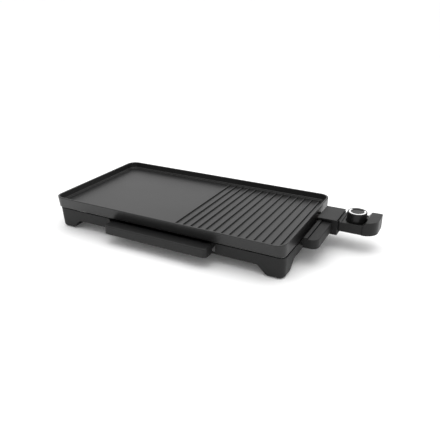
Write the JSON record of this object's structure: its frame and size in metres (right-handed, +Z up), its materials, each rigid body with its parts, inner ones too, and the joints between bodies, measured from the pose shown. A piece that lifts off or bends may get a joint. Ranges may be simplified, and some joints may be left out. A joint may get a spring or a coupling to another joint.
{
  "type": "electric griddle",
  "caption": "Long cast griddle plate, half flat and half ribbed, on a moulded base with side handles, a slide-out drip tray and a plug-in dial controller.",
  "frame": {"origin": "middle of the bottom face of the bounding box, on the plane the feet stand on", "axes": "+X along the long side towards the plug-in controller, -Y towards the drip tray pull and the user, +Z up"},
  "size_m": [0.689, 0.3026, 0.0787],
  "materials": {
    "nonstick_plate": "matt dark grey non-stick coating over cast aluminium",
    "element_steel": "dull sheathed steel",
    "ceramic": "unglazed cream ceramic",
    "pin_steel": "bright plated steel",
    "base_plastic": "fine-grained black moulding",
    "foot_rubber": "soft black rubber",
    "handle_plastic": "fine-grained black heat-resistant moulding",
    "screw_steel": "zinc-plated steel",
    "housing_plastic": "satin black heat-resistant moulding",
    "shield_steel": "aluminised steel sheet",
    "rail_steel": "blackened sheet steel",
    "tray_plastic": "smooth black moulding",
    "bar_plastic": "satin black moulding",
    "controller_plastic": "satin black moulding",
    "contact_brass": "plain brass strip",
    "probe_steel": "drawn stainless tube",
    "dial_plastic": "smooth black moulding",
    "ring_enamel": "white inlaid ring",
    "lens_plastic": "clear-grey moulded lens",
    "lamp_glass": "small neon envelope",
    "gland_rubber": "moulded rubber bush"
  },
  "bodies": {
    "griddle": {"base_frame": "base_plastic", "cooking_plate": "nonstick_plate", "element_end_seals": "ceramic", "foot_pads": "foot_rubber", "handle_screws": "screw_steel", "heat_shield": "shield_steel", "heating_element": "element_steel", "inlet_cover": "housing_plastic", "inlet_housing": "housing_plastic", "inlet_screws": "screw_steel", "insulating_spacers": "ceramic", "left_handle": "handle_plastic", "left_tray_rail": "rail_steel", "plate_screws": "screw_steel", "rail_screws": "screw_steel", "right_handle": "handle_plastic", "right_tray_rail": "rail_steel", "terminal_pins": "pin_steel"},
    "tray": {"drip_tray": "tray_plastic", "tray_bar": "bar_plastic", "tray_bar_screws": "screw_steel"},
    "controller": {"controller_lower_shell": "controller_plastic", "controller_upper_shell": "controller_plastic", "shell_screws": "screw_steel", "ceramic_block": "ceramic", "receptacle_contacts": "contact_brass", "probe_tube": "probe_steel", "thermostat_frame": "rail_steel", "bimetal_blade": "contact_brass", "contact_blades": "contact_brass", "indicator_lens": "lens_plastic", "indicator_lamp": "lamp_glass", "cord_gland": "gland_rubber"},
    "dial": {"dial_knob": "dial_plastic", "dial_ring": "ring_enamel", "dial_spindle": "pin_steel"}
  },
  "joints": [
    {"name": "tray_slide", "type": "slide", "parent": "griddle", "child": "tray", "axis": [0, -1, 0], "range_m": [0, 0.11]},
    {"name": "controller_plug", "type": "slide", "parent": "griddle", "child": "controller", "axis": [1, 0, 0], "range_m": [0, 0.15]},
    {"name": "dial_turn", "type": "hinge", "parent": "controller", "child": "dial", "pos_m": [0.2993, 0.074, 0.0605], "axis": [0, 0, -1], "range_deg": [0, 270]}
  ]
}
